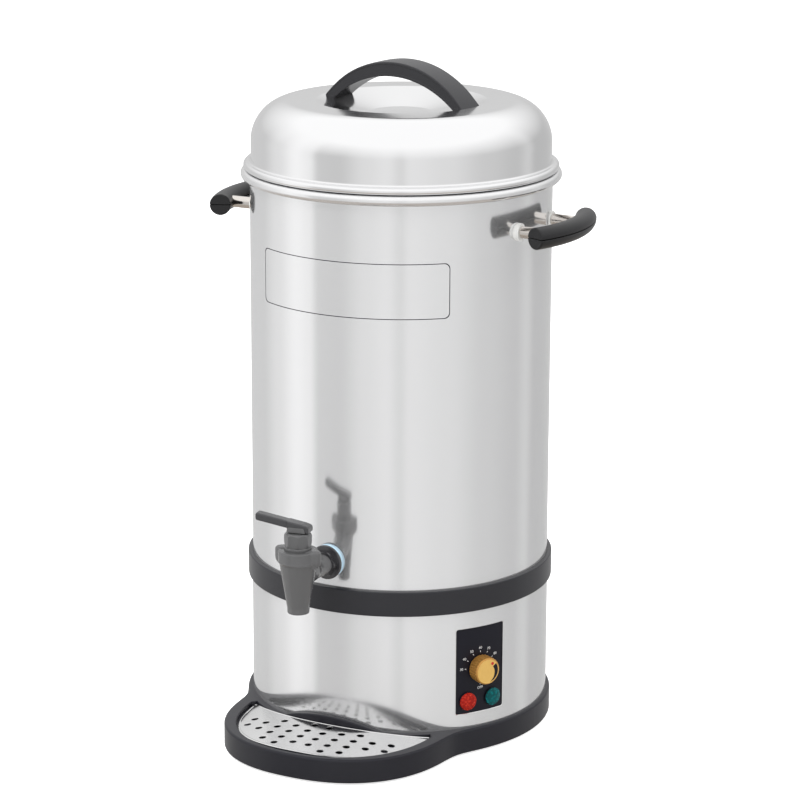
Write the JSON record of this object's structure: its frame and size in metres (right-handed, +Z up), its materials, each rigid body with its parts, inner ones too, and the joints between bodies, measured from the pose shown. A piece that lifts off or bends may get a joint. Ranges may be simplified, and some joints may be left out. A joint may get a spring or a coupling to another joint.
{
  "type": "mulled wine kettle",
  "caption": "Heated stainless drinks kettle with lift-off lid, drip base with perforated plate, self-closing tap and thermostat panel.",
  "frame": {"origin": "on the kettle's axis, in the plane of the feet's undersides", "axes": "+Z up along the kettle's axis, the tap points along -Y, the side handles lie along X"},
  "size_m": [0.369, 0.3804, 0.6255],
  "materials": {
    "base_plastic": "moulded black plastic, satin gloss",
    "sheet_steel": "plain sheet",
    "foot_rubber": "matt",
    "fastener_steel": "bright",
    "drip_steel": "polished stainless",
    "body_steel": "satin stainless",
    "band_plastic": "satin gloss black",
    "panel_black": "gloss black",
    "bezel_chrome": "bright",
    "insulator": "off-white",
    "knob_gold": "satin gold",
    "lens_red": "clear red",
    "lens_green": "clear blue-green",
    "heater_alloy": "cast",
    "element_sheath": "heat-tinted",
    "bulb_copper": "drawn copper",
    "gland_plastic": "black nylon",
    "seal_blue": "pale silicone",
    "seal_white": "white silicone",
    "tap_plastic": "smoky grey gloss",
    "grip_plastic": "black, satin gloss",
    "sleeve_chrome": "bright",
    "washer_nylon": "pale",
    "lid_steel": "satin stainless, polished rim",
    "strap_plastic": "black, satin gloss"
  },
  "bodies": {
    "kettle": {"base": "base_plastic", "bottom_plate": "sheet_steel", "feet": "foot_rubber", "base_screws": "fastener_steel", "lower_housing": "body_steel", "trim_band": "band_plastic", "tank": "body_steel", "tank_rim": "body_steel", "tank_floor": "body_steel", "control_panel": "panel_black", "panel_bezel": "bezel_chrome", "thermostat_body": "insulator", "thermostat_nut": "fastener_steel", "red_lamp_lens": "lens_red", "green_lamp_lens": "lens_green", "lamp_bezels": "panel_black", "lamp_bodies": "insulator", "heater_plate": "heater_alloy", "heating_element": "element_sheath", "element_strap": "sheet_steel", "tie_rod": "fastener_steel", "tie_nuts": "fastener_steel", "sensor_bulb": "bulb_copper", "boil_dry_cutout": "insulator", "terminal_block": "insulator", "cable_gland": "gland_plastic", "gland_nut": "gland_plastic", "tap_seal": "seal_blue", "tap_nut": "tap_plastic", "tap_body": "tap_plastic", "tap_bonnet": "tap_plastic", "tap_spring": "fastener_steel", "tap_inner_seal": "seal_white", "tap_lock_nut": "insulator", "left_grip_top": "grip_plastic", "left_grip_bottom": "grip_plastic", "right_grip_top": "grip_plastic", "right_grip_bottom": "grip_plastic", "handle_sleeves": "sleeve_chrome", "handle_washers": "washer_nylon", "handle_seals": "seal_white", "handle_bolts": "fastener_steel", "handle_nuts": "fastener_steel"},
    "lid": {"lid_shell": "lid_steel", "lid_ring": "lid_steel", "lid_handle": "strap_plastic", "lid_screws": "fastener_steel"},
    "drip_plate": {"drip_plate": "drip_steel"},
    "knob": {"control_knob": "knob_gold", "thermostat_shaft": "fastener_steel"},
    "tap_stem": {"tap_stem": "insulator", "seat_cup": "seal_white"},
    "tap_lever": {"tap_lever": "tap_plastic", "lever_pin": "fastener_steel"}
  },
  "joints": [
    {"name": "lid_lift", "type": "slide", "parent": "kettle", "child": "lid", "axis": [0, 0, 1], "range_m": [0, 0.12]},
    {"name": "drip_plate_lift", "type": "slide", "parent": "kettle", "child": "drip_plate", "axis": [0, 0, 1], "range_m": [0, 0.06]},
    {"name": "knob_turn", "type": "hinge", "parent": "kettle", "child": "knob", "pos_m": [0.12098, -0.06985, 0.0805], "axis": [0.866, -0.5, 0], "range_deg": [-52, 215]},
    {"name": "stem_lift", "type": "slide", "parent": "kettle", "child": "tap_stem", "axis": [0, 0, 1], "range_m": [0, 0.004], "stiffness_N_per_m": 200, "springref_m": -0.01, "deforming": ["tap_spring"]},
    {"name": "lever_press", "type": "hinge", "parent": "tap_stem", "child": "tap_lever", "pos_m": [0, -0.1955, 0.232], "axis": [0.1736, -0.9848, 0], "range_deg": [0, 29]}
  ],
  "couplings": [
    {"joint": "lever_press", "follows": "stem_lift", "rad_per_m": 122.17}
  ]
}
